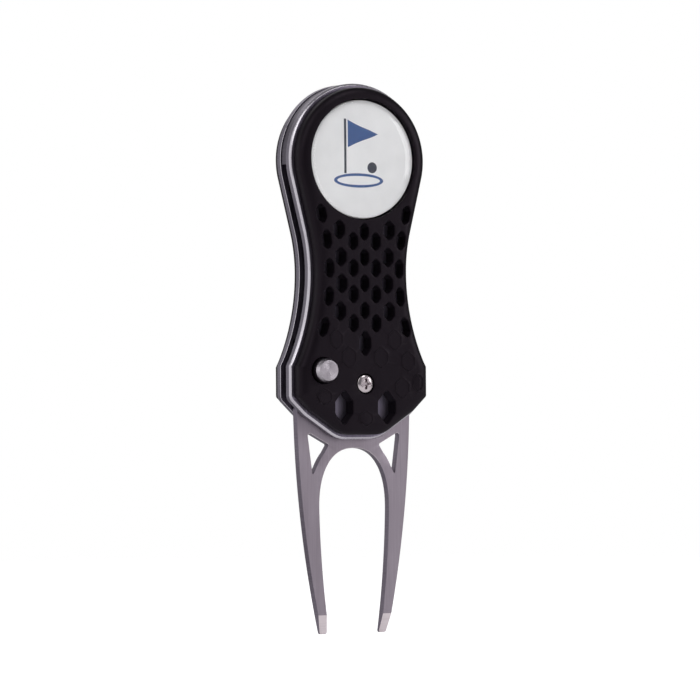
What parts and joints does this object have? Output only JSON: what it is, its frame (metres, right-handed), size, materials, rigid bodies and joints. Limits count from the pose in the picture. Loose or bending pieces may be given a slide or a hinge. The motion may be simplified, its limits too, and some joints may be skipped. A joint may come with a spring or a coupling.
{
  "type": "divot repair tool",
  "caption": "Folding golf divot repair tool: sprung two-prong steel fork between liners, waisted honeycomb grips, push-button release and magnetic ball marker.",
  "frame": {"origin": "centre of the bounding box in X and Y, at the level of the fork tips with the fork open", "axes": "+Z from the fork tips to the head, front with the ball marker and button facing -Y, +X to the right as seen from the front"},
  "size_m": [0.0332, 0.0144, 0.1157],
  "materials": {
    "grip_plastic": "satin black",
    "liner_steel": "brushed",
    "fork_steel": "brushed, dark",
    "bright_steel": "turned",
    "spring_steel": "drawn wire",
    "nickel_brass": "nickel plated",
    "bronze": "plain",
    "marker_steel": "polished",
    "printed_white": "printed film",
    "clear_resin": "clear, glossy",
    "magnet_nickel": "nickel plated"
  },
  "bodies": {
    "handle": {"front_grip": "grip_plastic", "rear_grip": "grip_plastic", "front_liner": "liner_steel", "rear_liner": "liner_steel", "pivot_screw": "bright_steel", "pivot_sleeve": "nickel_brass", "front_washer": "bronze", "rear_thrust_ring": "bronze", "torsion_spring": "spring_steel", "plunger_spring": "spring_steel", "open_stop_pin": "bright_steel", "closed_stop_pin": "bright_steel", "head_spacer": "liner_steel", "head_pin_left": "bright_steel", "head_pin_right": "bright_steel", "marker_magnet": "magnet_nickel", "front_grip_screw_head_left": "bright_steel", "front_grip_screw_head_right": "bright_steel", "front_grip_screw_foot_left": "bright_steel", "front_grip_screw_foot_right": "bright_steel", "rear_grip_screw_head_left": "bright_steel", "rear_grip_screw_head_right": "bright_steel", "rear_grip_screw_foot_left": "bright_steel", "rear_grip_screw_foot_right": "bright_steel"},
    "fork": {"fork": "fork_steel"},
    "button": {"release_button": "bright_steel", "lock_plunger": "bright_steel"},
    "ball_marker": {"marker_disc": "marker_steel", "marker_label": "printed_white", "marker_dome": "clear_resin"}
  },
  "joints": [
    {"name": "fork_fold", "type": "hinge", "parent": "handle", "child": "fork", "pos_m": [0, 0.00122, 0.05245], "axis": [0, -1, 0], "range_deg": [0, 180], "stiffness_Nm_per_rad": 0.004, "springref_deg": -68.75, "deforming": ["torsion_spring"]},
    {"name": "button_press", "type": "slide", "parent": "handle", "child": "button", "axis": [0, 1, 0], "range_m": [0, 0.0016], "stiffness_N_per_m": 1500, "springref_m": -0.002, "deforming": ["plunger_spring"]},
    {"name": "marker_lift", "type": "slide", "parent": "handle", "child": "ball_marker", "axis": [0, -1, 0], "range_m": [0, 0.02]}
  ]
}
